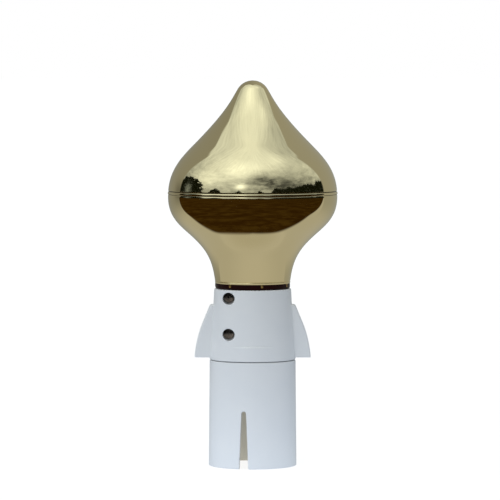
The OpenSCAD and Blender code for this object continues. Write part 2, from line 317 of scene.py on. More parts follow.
def skin(field, low, high, pitch):
    """A closed quad mesh over the field's surface: one point in each grid cell that the surface
    crosses, moved onto the surface. Returns the points, the faces and the surface normals."""
    axes = [np.arange(a - 1.5 * pitch, b + 2.5 * pitch, pitch) for a, b in zip(low, high)]
    values = field(*np.meshgrid(*axes, indexing="ij"))
    cells = tuple(n - 1 for n in values.shape)
    total = np.zeros(cells + (3,))
    count = np.zeros(cells)
    for axis in range(3):
        others = [a for a in range(3) if a != axis]
        for offset in ((0, 0), (0, 1), (1, 0), (1, 1)):
            start = [slice(0, n) for n in cells]
            for other, shift in zip(others, offset):
                start[other] = slice(shift, cells[other] + shift)
            end = list(start)
            end[axis] = slice(1, cells[axis] + 1)
            a = values[tuple(start)]
            b = values[tuple(end)]
            crossed = (a < 0) != (b < 0)
            part = np.where(crossed, a / np.where(crossed, a - b, 1), 0)
            total[..., axis] += part
            for other, shift in zip(others, offset):
                total[..., other] += shift * crossed
            count += crossed
    used = count > 0
    index = np.full(cells, -1)
    index[used] = np.arange(used.sum())
    cell = np.argwhere(used)
    points = np.array([a[0] for a in axes]) + pitch * (cell + total[used] / count[used][:, None])
    for _ in range(SETTLE_STEPS):
        slope = slopes(field, points)
        size = np.maximum((slope ** 2).sum(1), LEAST_SQUARE)
        move = slope * (field(*points.T) / size)[:, None]
        points -= np.clip(move, -pitch / 2, pitch / 2)
    faces = []
    for axis in range(3):
        u, v = (axis + 1) % 3, (axis + 2) % 3
        ahead = np.roll(values, -1, axis)
        crossed = (values < 0) != (ahead < 0)
        crossed[tuple(slice(-1, None) if a == axis else slice(None) for a in range(3))] = False
        at = np.argwhere(crossed)
        rising = values[tuple(at.T)] < 0
        ring = []
        for du, dv in ((-1, -1), (0, -1), (0, 0), (-1, 0)):
            where = at.copy()
            where[:, u] += du
            where[:, v] += dv
            ring.append(index[tuple(where.T)])
        quads = np.stack(ring, 1)
        quads[~rising] = quads[~rising][:, ::-1]
        faces.append(quads)
    normal = slopes(field, points)
    normal /= np.maximum(np.linalg.norm(normal, axis=1), 1e-6)[:, None]
    return points, np.concatenate(faces), normal


# ---- Outlines for lathed pieces: (radius, height) points ----

def down(lean):
    """Unit direction that runs downward and leans outward by lean degrees."""
    a = math.radians(lean)
    return np.array([math.sin(a), -math.cos(a)])


def stretch(start, end):
    """Points of the curve from one (point, lean, pull before it, pull after it) to the next."""
    t = (np.arange(CURVE_STEPS) + 1)[:, None] / CURVE_STEPS
    a, a_lean, _, a_pull = start
    b, b_lean, b_pull, _ = end
    c = a + a_pull * down(a_lean)
    d = b - b_pull * down(b_lean)
    return (1 - t) ** 3 * a + 3 * (1 - t) ** 2 * t * c + 3 * (1 - t) * t * t * d + t ** 3 * b


def finial_outline():
    """The onion's outside, from the tip down to the bottom of the neck."""
    centre = np.array([0, FINIAL_TOP_Z - NOSE_R])
    angles = np.radians(np.linspace(90, NOSE_LEAN, NOSE_STEPS))
    nose = centre + NOSE_R * np.stack([np.cos(angles), np.sin(angles)], 1)
    nose[0, 0] = 0
    runs = [nose]
    here = (nose[-1], NOSE_LEAN, 0, NOSE_PULL)
    for there in ONION:
        runs.append(stretch(here, there))
        here = there
    return np.concatenate(runs)


def inset(path, depth):
    """The path moved by depth towards the axis, along its own normals."""
    along = np.gradient(path, axis=0)
    along /= np.linalg.norm(along, axis=1)[:, None]
    moved = path + depth * np.stack([along[:, 1], -along[:, 0]], 1)
    return moved[moved[:, 0] >= 0]


def between(path, high, low):
    """The stretch of a falling path from one height down to another, with exact ends."""
    def radius(z):
        return np.interp(z, path[::-1, 1], path[::-1, 0])
    inner = path[(path[:, 1] < high - 0.2) & (path[:, 1] > low + 0.2)]
    return np.concatenate([[[radius(high), high]], inner, [[radius(low), low]]])


def soften(outline, radius, closed=True, steps=4):
    """The outline with every corner that turns by more than SHARP_TURN rounded off. The
    rounding takes up radius of each side, or just under half of a short one."""
    outline = [np.array(p, float) for p in outline]
    last = len(outline) - 1
    out = []
    for i, here in enumerate(outline):
        if not closed and i in (0, last):
            out.append(here)
            continue
        back = outline[i - 1] - here
        ahead = outline[(i + 1) % len(outline)] - here
        back_len = np.linalg.norm(back)
        ahead_len = np.linalg.norm(ahead)
        cosine = np.dot(back, ahead) / (back_len * ahead_len)
        if cosine < -math.cos(SHARP_TURN):
            out.append(here)
            continue
        a = here + back * min(radius / back_len, MOST_OF_SIDE)
        b = here + ahead * min(radius / ahead_len, MOST_OF_SIDE)
        for t in np.linspace(0, 1, steps + 1):
            out.append((1 - t) ** 2 * a + 2 * (1 - t) * t * here + t * t * b)
    return np.array(out)


def washer_outline(inner_r, outer_r, low, high, edge):
    """A ring of rectangular section with rounded edges."""
    return soften([(inner_r, high), (outer_r, high), (outer_r, low), (inner_r, low)], edge)


def bands(count, columns, closed=False):
    """Faces between rings of points that follow each other, and back to the first if closed."""
    faces = []
    for i in range(count if closed else count - 1):
        a = i * columns
        b = (i + 1) % count * columns
        for j in range(columns):
            k = (j + 1) % columns
            faces.append((a + j, b + j, b + k, a + k))
    return faces


def lathe(outline, columns):
    """Turns an outline about Z. One that starts and ends on the axis gives a solid of one
    skin, and any other is closed into a ring. Returns the points and the faces."""
    on_axis = outline[0][0] < 1e-6
    ring = outline[1:-1] if on_axis else outline
    angles = 2 * math.pi * np.arange(columns) / columns
    circles = [
        np.stack([r * np.cos(angles), r * np.sin(angles), np.full(columns, z)], 1) for r, z in ring
    ]
    points = np.concatenate(circles)
    faces = bands(len(ring), columns, closed=not on_axis)
    if on_axis:
        top = len(points)
        points = np.concatenate([points, [[0, 0, outline[0][1]], [0, 0, outline[-1][1]]]])
        foot = top - columns
        for j in range(columns):
            k = (j + 1) % columns
            faces.append((top, j, k))
            faces.append((foot + j, top + 1, foot + k))
    return points, faces


def screw_to_front(points):
    """Lays a screw that was made along Z so that its head faces the front."""
    return np.stack([points[:, 0], -points[:, 2], points[:, 1]], 1)


def lay_on_y(points, x, z):
    """Turns points made about Z so that their axis lies along Y through x and z."""
    return np.stack([points[:, 0] + x, points[:, 2], -points[:, 1] + z], 1)


# ---- Pieces ----

def piece(name, points, faces, body, slot, replaces, normals=None):
    """A mesh object in metres that rides on a body and stands for CAD nodes."""
    mesh = bpy.data.meshes.new(name)
    mesh.from_pydata((np.asarray(points) * MM).tolist(), [], [tuple(map(int, f)) for f in faces])
    mesh.update()
    mesh.shade_smooth()
    if normals is None:
        mesh.set_sharp_from_angle(angle=SHARP_FOLD)
    else:
        mesh.normals_split_custom_set_from_vertices(normals.tolist())
    mesh.materials.append(LOOKS[slot])
    made = bpy.data.objects.new(name, mesh)
    bpy.context.scene.collection.objects.link(made)
    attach(made, body)
    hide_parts(replaces)
    return made


def half_turn(points):
    """Points turned half way round the Z axis."""
    return points * np.array([-1, -1, 1])


# The sleeve

def sleeve_field(x, y, z):
    r = np.hypot(x, y)
    side = cone(r, z, (SLEEVE_FOOT_R, 0), (SLEEVE_TOP_R, SLEEVE_H))
    solid = both(both(side, z - SLEEVE_H, edge=0.6), -z, edge=0.8)
    solid = without(solid, both(r - BORE_R, z - SOCKET_H, edge=0.6), edge=0.5)
    solid = without(solid, both(r - CUP_R, DECK_Z - z, edge=0.8), edge=0.4)
    post = both(r - POST_R, slab(z, DECK_Z - OVERLAP, POST_Z), edge=0.4)
    solid = either(solid, post, edge=0.5)
    solid = without(solid, both(r - BOLT_WELL_R, z - BOLT_SEAT_Z), edge=0.3)
    solid = without(solid, r - M8_HOLE_R, edge=0.2)
    return without(solid, slot_field(x, y, z), edge=0.4)


def slot_field(x, y, z):
    """The slot in the sleeve's front: it narrows upwards to a round end."""
    across, outward = turned(x, y, SLOT_TURN)
    end_r = SLOT_TOP_W / 2
    end_z = SLOT_H - end_r
    half = end_r + (SLOT_FOOT_W / 2 - end_r) * (end_z - z) / end_z
    slot = np.where(z < end_z, np.abs(across) - half, np.hypot(across, z - end_z) - end_r)
    return both(slot, ONE_SIDE - outward)


# The halyard head: the front half shell, whose half turn is the rear one

def shell_side(r, z):
    """Solid inside the head's side, which is a little steeper above the middle."""
    lower = cone(r, z, (SLEEVE_TOP_R, HEAD_FOOT_Z), (HEAD_MID_R, HEAD_MID_Z))
    upper = cone(r, z, (HEAD_MID_R, HEAD_MID_Z), (HEAD_TOP_R, HEAD_TOP_Z))
    return np.where(z < HEAD_MID_Z, lower, upper)


def hood_edge(x, z):
    """Solid under the hood's outer edge: a straight slope that runs into a long arc."""
    centre_x = HOOD_REACH - HOOD_CURVE_R * math.cos(HOOD_FOOT_LEAN)
    centre_z = HOOD_FOOT_Z - HOOD_CURVE_R * math.sin(HOOD_FOOT_LEAN)
    u = x - centre_x
    v = z - centre_z
    slope = u * math.cos(HOOD_LEAN) + v * math.sin(HOOD_LEAN)
    arc = np.hypot(u, v)
    return np.where(np.arctan2(v, u) > HOOD_LEAN, slope, arc) - HOOD_CURVE_R


def shell_outside(x, y, z):
    """The head's outer shape: its body, the bevelled land at its foot, two hoods and a skirt."""
    r = np.hypot(x, y)
    out = np.abs(x)
    solid = both(shell_side(r, z), z - HEAD_TOP_Z, edge=0.7)
    solid = both(solid, HEAD_FOOT_Z - z, edge=0.5)
    land_side = np.hypot(x, y + LAND_Y) - LAND_R
    bevel = (land_side + z - LAND_TOP_Z + LAND_BEVEL) * math.sqrt(0.5)
    land = both(land_side, slab(z, LAND_FOOT_Z, LAND_TOP_Z), edge=0.2)
    solid = either(solid, both(land, bevel, edge=0.1), edge=0.1)
    hood = both(hood_edge(out, z), np.abs(y) - HOOD_HALF_W, edge=1.3)
    hood = both(both(hood, z - HOOD_TOP_Z, edge=1.2), HOOD_FOOT_Z - z, edge=0.5)
    solid = either(solid, both(hood, ONE_SIDE - out), edge=0.9)
    skirt = both(r - SKIRT_R, slab(z, HEAD_FLOOR_Z, HEAD_FOOT_Z + OVERLAP), edge=0.6)
    return either(solid, skirt, edge=0.3)


def shell_room(x, y, z):
    """The room inside the head, round the bosses of the case screws."""
    r = np.hypot(x, y)
    shelf_z = HEAD_FOOT_Z + SHELL_WALL
    room = slab(z, shelf_z, HEAD_TOP_Z - TOP_PLATE_T)
    room = both(shell_side(r, z) + SHELL_WALL, room, edge=0.8)
    well = slab(z, HEAD_FLOOR_Z + FLOOR_T, shelf_z + OVERLAP)
    well = both(r - SKIRT_R + SKIRT_WALL, well, edge=0.8)
    room = either(room, well, edge=0.4)
    for boss_x, boss_r in ((-AXLE_X, WELL_BOSS_R), (AXLE_X, PILOT_BOSS_R)):
        upper = np.hypot(x - boss_x, z - UPPER_SCREW_Z) - boss_r
        lower = np.hypot(x - boss_x, z - AXLE_Z) - boss_r
        lower = both(lower, y + AXLE_FACE_Y, edge=0.4)
        room = without(without(room, upper, edge=0.8), lower, edge=0.8)
    return room


def rope_way(x, y, z):
    """The pockets round the sheaves, and the ropes' way out and down under each hood."""
    out = np.abs(x)
    way = both(np.abs(y) - PASSAGE_HALF_W, hood_edge(out, z) + HOOD_WALL, edge=0.8)
    way = both(way, z - HOOD_TOP_Z + HOOD_WALL, edge=0.8)
    over_floor = both(PASSAGE_FROM_X - out, POCKET_FLOOR_Z - z)
    way = both(way, either(DROP_FROM_X - out, over_floor))
    pocket = np.hypot(out - AXLE_X, z - AXLE_Z) - POCKET_R
    pocket = both(both(pocket, np.abs(y) - PASSAGE_HALF_W), POCKET_FLOOR_Z - z)
    return either(way, pocket)


def shell_field(x, y, z):
    r = np.hypot(x, y)
    solid = without(shell_outside(x, y, z), shell_room(x, y, z))
    solid = without(solid, rope_way(x, y, z), edge=0.35)
    for _, screw_z, seat_y in SCREW_SEATS:
        from_screw = np.hypot(x + AXLE_X, z - screw_z)
        solid = without(solid, both(from_screw - WELL_R, y + seat_y), edge=0.45)
        solid = without(solid, from_screw - SCREW_HOLE_R, edge=0.2)
        pilot = both(np.hypot(x - AXLE_X, z - screw_z) - PILOT_R, -PILOT_DEPTH - y)
        solid = without(solid, pilot, edge=0.3)
    post_hole = both(r - POST_R - RUNNING_FIT, z - HEAD_FLOOR_Z - FLOOR_T - OVERLAP)
    solid = without(solid, post_hole, edge=0.4)
    bolt_hole = both(r - M8_HOLE_R, HEAD_TOP_Z - TOP_PLATE_T - OVERLAP - z)
    solid = without(solid, bolt_hole, edge=0.3)
    return both(solid, y + HALVES_GAP / 2, edge=0.25)


# The finial

outline = finial_outline()
# Every second inner point is enough, as the inside hardly shows
inside = np.concatenate([[[0, FINIAL_TOP_Z - FINIAL_WALL]], inset(outline, FINIAL_WALL)[1::2]])


def outer_r(z):
    return np.interp(z, outline[::-1, 1], outline[::-1, 0])


LAP_R = np.interp(SEAM_Z, inside[::-1, 1], inside[::-1, 0]) + LAP_T


def bead_outline():
    """The bead's face, from its top down. It leans in a little upwards, as the onion does."""
    middle = SEAM_Z + BEAD_H / 2
    bead = []
    for a in np.radians(np.arange(75, -76, -10)):
        z = middle + (BEAD_H / 2 - STEP_LEAN) * math.sin(a)
        out = BEAD_OUT + BEAD_ROUNDNESS * (math.cos(a) ** BEAD_FULLNESS - 1)
        bead.append((outer_r(middle) + out - BEAD_LEAN * (z - middle), z))
    return bead


def upper_finial_outline():
    bead_z = SEAM_Z + BEAD_H
    groove_z = bead_z + BEAD_GROOVE_W
    groove_floor_r = outer_r(bead_z) - BEAD_GROOVE_DEPTH
    lap_top_z = SEAM_Z + LAP_H + LAP_ROOM
    top = between(outline, FINIAL_TOP_Z, groove_z)
    top[0] = (0, FINIAL_TOP_Z)
    under = between(inside, FINIAL_TOP_Z - FINIAL_WALL, lap_top_z)[::-1]
    under[-1] = (0, FINIAL_TOP_Z - FINIAL_WALL)
    step = [
        (groove_floor_r, groove_z - STEP_LEAN),
        (groove_floor_r, bead_z),
        *bead_outline(),
        (LAP_R + STEP_LEAN, SEAM_Z + JOINT_FACE),
        (LAP_R + STEP_LEAN, lap_top_z),
    ]
    return soften(np.concatenate([top, step, under]), FINIAL_EDGE_R, closed=False)


def lower_finial_outline():
    edge_z = SEAM_Z - JOINT_GAP
    shoulder_z = edge_z - SHOULDER_H
    lip_z = NECK_Z + LIP_H
    lip_r = outer_r(lip_z)
    groove_floor_r = lip_r - LIP_GROOVE_DEPTH
    shoulder = []
    for t in np.linspace(1, 0, 7)[:-1]:
        z = shoulder_z + SHOULDER_H * t
        shoulder.append((outer_r(z) - SHOULDER_IN * t ** 2, z))
    body = between(outline, shoulder_z, lip_z + LIP_GROOVE_W)
    lined = between(inside, SEAM_Z + LAP_H, NECK_Z + OVERLAP)[::-1]
    section = np.concatenate([
        [(LAP_R - LAP_T, SEAM_Z + LAP_H), (LAP_R, SEAM_Z + LAP_H), (LAP_R, edge_z)],
        shoulder,
        body,
        [(groove_floor_r, lip_z + LIP_GROOVE_W - STEP_LEAN), (groove_floor_r, lip_z)],
        [(lip_r - 0.02, lip_z - STEP_LEAN), (lip_r + LIP_OUT, lip_z - LIP_EDGE_H)],
        [(NECK_R + STEP_LEAN, NECK_Z + LIP_CHAMFER[1]), (NECK_R - LIP_CHAMFER[0], NECK_Z)],
        [(NECK_R - FINIAL_WALL, NECK_Z)],
        lined[:-1],
    ])
    return soften(section, FINIAL_EDGE_R)


def bare_inside_and_groove_shade(made, material):
    """Gives the faces of a finial shell that lie deeper than METAL_DEPTH under its outside a
    second, dark material: bare plastic on the unmetallised inside, and painted shade on the groove
    floor and in the joint's gap.
    """
    made.data.materials.append(material)
    for face in made.data.polygons:
        x, y, z = np.array(face.center) / MM
        if math.hypot(x, y) < outer_r(z) - METAL_DEPTH:
            face.material_index = 1


def paint_tabs_shaded(made, material):
    """Gives the locking tabs under the neck a third material: a darker copy of the gold, which is
    painted shade, as the tabs mirror dark surroundings.
    """
    made.data.materials.append(material)
    for face in made.data.polygons:
        if face.center.z < (NECK_Z - STEP_LEAN) * MM:
            face.material_index = 2


def tab_points():
    """A locking tab: a rounded block, in its own place at the front of the neck's lower edge."""
    middle = (0, TAB_H / 2)
    half_w = TAB_W / 2
    ring = soften([(-half_w, 0), (half_w, 0), (half_w, TAB_H), (-half_w, TAB_H)], 0.5, steps=3)
    layers = []
    for inward, shrink in ((TAB_T, 0), *TAB_FACE):
        face = (ring - middle) * (1 - shrink) + middle
        depth = np.full(len(face), inward - NECK_R - TAB_OUT)
        height = face[:, 1] + NECK_Z - TAB_H + TAB_ROOT
        layers.append(np.stack([face[:, 0], depth, height], 1))
    count = len(ring)
    faces = [face[::-1] for face in bands(len(layers), count)]
    faces.append(tuple(range(count))[::-1])
    faces.append(tuple(range((len(layers) - 1) * count, len(layers) * count)))
    return np.concatenate(layers), faces


def tab_angles():
    return [TAB_TURN + 2 * math.pi * i / TAB_COUNT for i in range(TAB_COUNT)]


def lower_finial():
    """The lower shell with its locking tabs."""
    points, faces = lathe(lower_finial_outline(), FINIAL_COLUMNS)
    tab, tab_faces = tab_points()
    x, y, z = tab.T
    for a in tab_angles():
        start = len(points)
        tab_x = x * math.cos(a) - y * math.sin(a)
        tab_y = x * math.sin(a) + y * math.cos(a)
        points = np.concatenate([points, np.stack([tab_x, tab_y, z], 1)])
        faces += [tuple(start + v for v in f) for f in tab_faces]
    return points, faces


def plug_field(x, y, z):
    r = np.hypot(x, y)
    cup_r = NECK_R - FINIAL_WALL - SNUG_FIT
    rim = both(r - NECK_R + PLUG_RIM_FIT, z - NECK_Z, edge=0.25)
    rim = both(rim, HEAD_TOP_Z - z, edge=1.4)
    cup = both(both(r - cup_r, z - PLUG_HIGH[2], edge=0.5), NECK_Z - OVERLAP - z)
    moat = both(r - cup_r + PLUG_WALL, NECK_Z - z, edge=0.8)
    moat = both(moat, PLUG_BOSS_R - r, edge=0.8)
    solid = without(either(rim, cup), moat, edge=0.4)
    over_boss = both(r - PLUG_BOSS_R - OVERLAP, PLUG_SEAT_Z + M8_HEAD_H - z)
    solid = without(solid, over_boss, edge=0.3)
    bolt_seat = both(hexagon(x, y, M8_HALF_FLATS + SNUG_FIT), PLUG_SEAT_Z - z)
    solid = without(solid, bolt_seat, edge=0.2)
    solid = without(solid, r - M8_HOLE_R, edge=0.2)
    for a in tab_angles():
        across, outward = turned(x, y, a)
        notch = both(np.abs(across) - TAB_W / 2 - SNUG_FIT, NECK_Z - TAB_H + SNUG_FIT - z)
        notch = both(notch, NECK_R - TAB_T - outward)
        solid = without(solid, notch, edge=0.1)
    return solid


# Hardware

def screw_field(x, y, z):
    """A pan-head case screw along Z: its head above z = 0, its thread below."""
    r = np.hypot(x, y)
    dome = np.hypot(r, z + SCREW_DOME_DROP) - SCREW_DOME_DROP - SCREW_HEAD_H
    head = both(both(r - SCREW_HEAD_R, dome, edge=0.5), -z, edge=0.2)
    depth = SCREW_HEAD_H - z
    half_w = RECESS_ARM_HALF_W - RECESS_ARM_TAPER * depth
    along_x = np.maximum(np.abs(y) - half_w, np.abs(x) - RECESS_ARM)
    along_y = np.maximum(np.abs(x) - half_w, np.abs(y) - RECESS_ARM)
    pit = r - RECESS_PIT_R + RECESS_PIT_TAPER * depth
    recess = np.minimum(np.minimum(along_y, along_x), pit)
    head = without(head, both(recess, depth - RECESS_DEPTH), edge=0.12)
    shank = thread(x, y, z, SCREW_R, SCREW_THREAD_DEPTH, SCREW_PITCH)
    shank = both(shank, slab(z, -SCREW_LEN, SHANK_ROOT))
    point_top = (SCREW_R + 0.1, SCREW_POINT_LEN - SCREW_LEN)
    point = cone(r, z, (SCREW_POINT_R, -SCREW_LEN), point_top)
    return either(head, both(shank, point), edge=0.15)


def bolt_field(length):
    """A hexagon bolt along Z: its head above z = 0, its thread below."""
    def field(x, y, z):
        r = np.hypot(x, y)
        chamfer_foot = (M8_HALF_CORNERS, M8_HEAD_H - M8_HEAD_CHAMFER)
        chamfer = cone(r, z, chamfer_foot, (M8_HEAD_FACE_R, M8_HEAD_H))
        head = both(hexagon(x, y, M8_HALF_FLATS), slab(z, 0, M8_HEAD_H), edge=0.15)
        shank = thread(x, y, z, M8_R - M8_THREAD_FIT, M8_THREAD_DEPTH, M8_PITCH)
        shank = both(shank, slab(z, -length, SHANK_ROOT))
        point = cone(r, z, (M8_POINT_R, -length), (M8_R, M8_POINT_LEN - length))
        return either(both(head, chamfer, edge=0.1), both(shank, point), edge=0.2)
    return field


def nut_field(height, collar):
    """A hexagon nut with its foot at z = 0, and a round collar on top if it is a lock nut."""
    def field(x, y, z):
        r = np.hypot(x, y)
        top = height - collar
        low = cone(r, -z, (M8_HALF_CORNERS, -NUT_CHAMFER), (NUT_FACE_R, 0))
        high = cone(r, z, (M8_HALF_CORNERS, top - NUT_CHAMFER), (NUT_FACE_R, top))
        solid = both(hexagon(x, y, M8_HALF_FLATS), slab(z, 0, top), edge=0.1)
        solid = both(both(solid, low, edge=0.1), high, edge=0.1)
        if collar:
            ring = both(r - NUT_COLLAR_R, slab(z, 0.5, height), edge=0.9)
            solid = either(solid, ring, edge=0.2)
        return without(solid, r - M8_R - NUT_BORE_FIT, edge=0.35)
    return field


def hex_part(name, cad, body, field, low_z, high_z, seat_z, facing=1):
    """A steel bolt or nut with its foot at seat_z, upside down where it faces down."""
    low = (-M8_HALF_BOX, -M8_HALF_BOX, low_z)
    points, faces, normals = skin(field, low, (M8_HALF_BOX, M8_HALF_BOX, high_z), M8_GRID)
    turn = np.array([1, facing, facing])
    piece(name, points * turn + (0, 0, seat_z), faces, body, "steel", cad, normals * turn)


def sheave_outline():
    """Section of a sheave about its own axis, from the bore out to the rope groove."""
    half_w = SHEAVE_HALF_W
    web = half_w - SHEAVE_DISH
    bore_r = BUSH_R + RUNNING_FIT
    hub_r = bore_r + SHEAVE_HUB_T
    floor_r = SHEAVE_R - SHEAVE_GROOVE_DEPTH
    rim_r = floor_r - SHEAVE_RIM_T
    upper = [
        (bore_r, half_w), (hub_r, half_w), (hub_r + SHEAVE_DISH_SLOPE, web),
        (rim_r - SHEAVE_DISH_SLOPE, web), (rim_r, half_w), (SHEAVE_R, half_w),
        (SHEAVE_R, half_w - SHEAVE_LIP),
    ]
    for a in np.radians(np.arange(78, -1, -6)):
        arc_r = floor_r + SHEAVE_GROOVE_R * (1 - math.cos(a))
        upper.append((arc_r, SHEAVE_GROOVE_R * math.sin(a)))
    lower = [(r, -h) for r, h in upper[::-1] if h > 0.01]
    return soften(upper + lower, 0.35)


# ---- Materials ----

class Value:
    """A number worked out in a node tree. Arithmetic on it adds math nodes to the tree."""

    def __init__(self, tree, socket):
        self.tree = tree
        self.socket = socket

    def calc(self, kind, *others):
        """A math node whose first input is this value."""
        made = node(self.tree, "ShaderNodeMath", {"operation": kind}, _0=self)
        for i, other in enumerate(others):
            feed(made.inputs[i + 1], other)
        return Value(self.tree, made.outputs[0])

    __add__ = partialmethod(calc, "ADD")
    __sub__ = partialmethod(calc, "SUBTRACT")
    __mul__ = partialmethod(calc, "MULTIPLY")
    __truediv__ = partialmethod(calc, "DIVIDE")
    __abs__ = partialmethod(calc, "ABSOLUTE")
    __neg__ = partialmethod(calc, "MULTIPLY", -1.0)

    def ramp(self, low, high, out_low=0, out_high=1):
        """A smooth step between two levels of the value."""
        made = node(
            self.tree, "ShaderNodeMapRange", {"interpolation_type": "SMOOTHSTEP"}, Value=self,
            From_Min=low, From_Max=high, To_Min=out_low, To_Max=out_high,
        )
        return Value(self.tree, made.outputs[0])

    def mix(self, a, b):
        """Colour a where the value is 0, and colour b where it is 1."""
        made = node(self.tree, "ShaderNodeMix", {"data_type": "RGBA"}, _0=self)
        for socket, colour in ((made.inputs[6], a), (made.inputs[7], b)):
            feed(socket, (*colour, 1) if isinstance(colour, tuple) else colour)
        return made.outputs[2]

    def dim(self, colour):
        """A colour times the value."""
        scale = {"operation": "SCALE"}
        return node(self.tree, "ShaderNodeVectorMath", scale, _0=colour, Scale=self).outputs[0]


def feed(socket, value):
    """Links an input to a Value or to an output socket, or sets it to a plain value."""
    if isinstance(value, Value):
        value = value.socket
    if isinstance(value, bpy.types.NodeSocket):
        socket.id_data.links.new(value, socket)
    else:
        socket.default_value = value


def node(tree, kind, settings=None, **inputs):
    """A node with its settings and inputs: each is given by its name, or by _ and its number."""
    made = tree.nodes.new(kind)
    for key, value in (settings or {}).items():
        setattr(made, key, value)
    for key, value in inputs.items():
        feed(made.inputs[int(key[1:]) if key[0] == "_" else key.replace("_", " ")], value)
    return made


def noise(tree, size_mm, detail=2.0, roughness=0.5, squash=(1, 1, 1)):
    """Noise in the piece's own coordinates, with features of the given size."""
    place = node(tree, "ShaderNodeTexCoord").outputs["Object"]
    scaled = node(tree, "ShaderNodeMapping", Vector=place, Scale=squash)
    made = node(
        tree, "ShaderNodeTexNoise", Vector=scaled.outputs[0], Scale=1 / (size_mm * MM),
        Detail=detail, Roughness=roughness,
    )
    return Value(tree, made.outputs["Fac"])


def shader(name, colour, **values):
    """A Principled material. Returns it with its node tree and its surface shader."""
    material = bpy.data.materials.new(name)
    material.use_nodes = True
    surface = material.node_tree.nodes["Principled BSDF"]
    surface.inputs["Base Color"].default_value = (*colour, 1)
    for key, value in values.items():
        surface.inputs[key.replace("_", " ")].default_value = value
    return material, material.node_tree, surface


def finish(surface, tone, gloss, bumps):
    """Gives a surface its colour, its roughness and its (height, depth in mm, strength) bumps."""
    feed(surface.inputs["Base Color"], tone)
    feed(surface.inputs["Roughness"], gloss)
    last = surface.inputs["Normal"]
    for height, depth_mm, strength in reversed(bumps):
        bump = node(
            surface.id_data, "ShaderNodeBump", Height=height, Distance=depth_mm * MM,
            Strength=strength,
        )
        feed(last, bump.outputs[0])
        last = bump.inputs["Normal"]


def white_plastic():
    """White moulded plastic: satin, faintly uneven in tone, with a fine eroded-mould grain."""
    material, tree, surface = shader("white_plastic", (0.8, 0.8, 0.8), IOR=1.5)
    tone = noise(tree, 22, detail=3).mix((0.80, 0.815, 0.83), (0.865, 0.87, 0.865))
    specks = noise(tree, 1.6, detail=4, roughness=0.65).ramp(0.70, 0.80, 0, 0.35)
    tone = specks.mix(tone, (0.60, 0.60, 0.58))
    gloss = noise(tree, 9, detail=4, roughness=0.6).ramp(0.3, 0.7, 0.30, 0.44)
    waves = noise(tree, 18, detail=1)
    grain = noise(tree, 0.45, detail=2)
    finish(surface, tone, gloss, [(waves, 0.10, 0.5), (grain, 0.006, 0.5)])
    return material


def gold():
    """Metallised gold on blown plastic: mirror bright, with a slow waviness and faint smudges."""
    material, tree, surface = shader("gold_metallised", (0.93, 0.78, 0.46), Metallic=1.0)
    tone = noise(tree, 35, detail=3).mix((0.93, 0.775, 0.445), (0.93, 0.79, 0.48))
    dust = noise(tree, 0.9, detail=3, roughness=0.6).ramp(0.68, 0.78, 0, 0.25)
    tone = dust.mix(tone, (0.62, 0.52, 0.34))
    smudges = noise(tree, 14, detail=5, roughness=0.65, squash=(1, 1, 0.6))
    smudges = smudges.ramp(0.45, 0.8, 0.035, 0.12)
    waves = noise(tree, 30, detail=1)
    ripples = noise(tree, 3.5, detail=1)
    finish(surface, tone, smudges, [(waves, 0.10, 1.0), (ripples, 0.0012, 1.0)])
    return material


def dark_plastic(name, deep, light):
    """Dark plastic, satin and of uneven tone."""
    material, tree, surface = shader(
        name, deep, IOR=1.45, Specular_IOR_Level=0.1, Coat_Weight=0.0, Coat_Roughness=0.05
    )
    tone = noise(tree, 7, detail=3).mix(deep, light)
    gloss = noise(tree, 4, detail=3).ramp(0.3, 0.7, 0.10, 0.24)
    finish(surface, tone, gloss, [(noise(tree, 6, detail=1), 0.03, 0.6)])
    return material


def nylon():
    """Natural nylon: creamy, a little translucent, with a fine grain."""
    material, tree, surface = shader(
        "nylon", (0.80, 0.78, 0.70), Subsurface_Weight=0.15, Subsurface_Scale=0.002
    )
    tone = noise(tree, 6, detail=3).mix((0.76, 0.74, 0.66), (0.84, 0.82, 0.75))
    gloss = noise(tree, 2.5, detail=4).ramp(0.3, 0.7, 0.38, 0.55)
    finish(surface, tone, gloss, [(noise(tree, 0.6, detail=2), 0.012, 0.5)])
    return material


def metal(name, light, dark, smooth, rough, stain=(0.1, 0.08, 0.06), stained=0.2, metallic=1.0):
    """A bare metal with fine scratches, and dull or stained patches."""
    material, tree, surface = shader(name, light, Metallic=metallic)
    tone = noise(tree, 3, detail=4).mix(dark, light)
    patch = noise(tree, 2.2, detail=5, roughness=0.7).ramp(0.56, 0.74, 0, stained)
    gloss = noise(tree, 1.5, detail=4, roughness=0.6).ramp(0.3, 0.7, smooth, rough)
    scratches = noise(tree, 0.35, detail=2, squash=(1, 1, 0.12))
    finish(surface, patch.mix(tone, stain), gloss, [(scratches, 0.006, 0.4)])
    return material


def browned_steel():
    """Steel with a brown skin. The upper half of each case screw's head is darker, as its well
    keeps it in the shade."""
    light, dark, stain = (0.74, 0.62, 0.52), (0.55, 0.44, 0.36), (0.40, 0.28, 0.20)
    material = metal("browned_steel", light, dark, 0.4, 0.65, stain, 0.5, 0.5)
    tree = material.node_tree
    colour = tree.nodes["Principled BSDF"].inputs["Base Color"]
    place = node(tree, "ShaderNodeTexCoord").outputs["Generated"]
    height = split(tree, place)[2]
    shade = height.ramp(0.30, 0.62, 1, 0.11)
    feed(colour, shade.dim(colour.links[0].from_socket))
    return material


def split(tree, place):
    """The parts of a vector, as values."""
    parts = node(tree, "ShaderNodeSeparateXYZ", Vector=place)
    return [Value(tree, part) for part in parts.outputs]


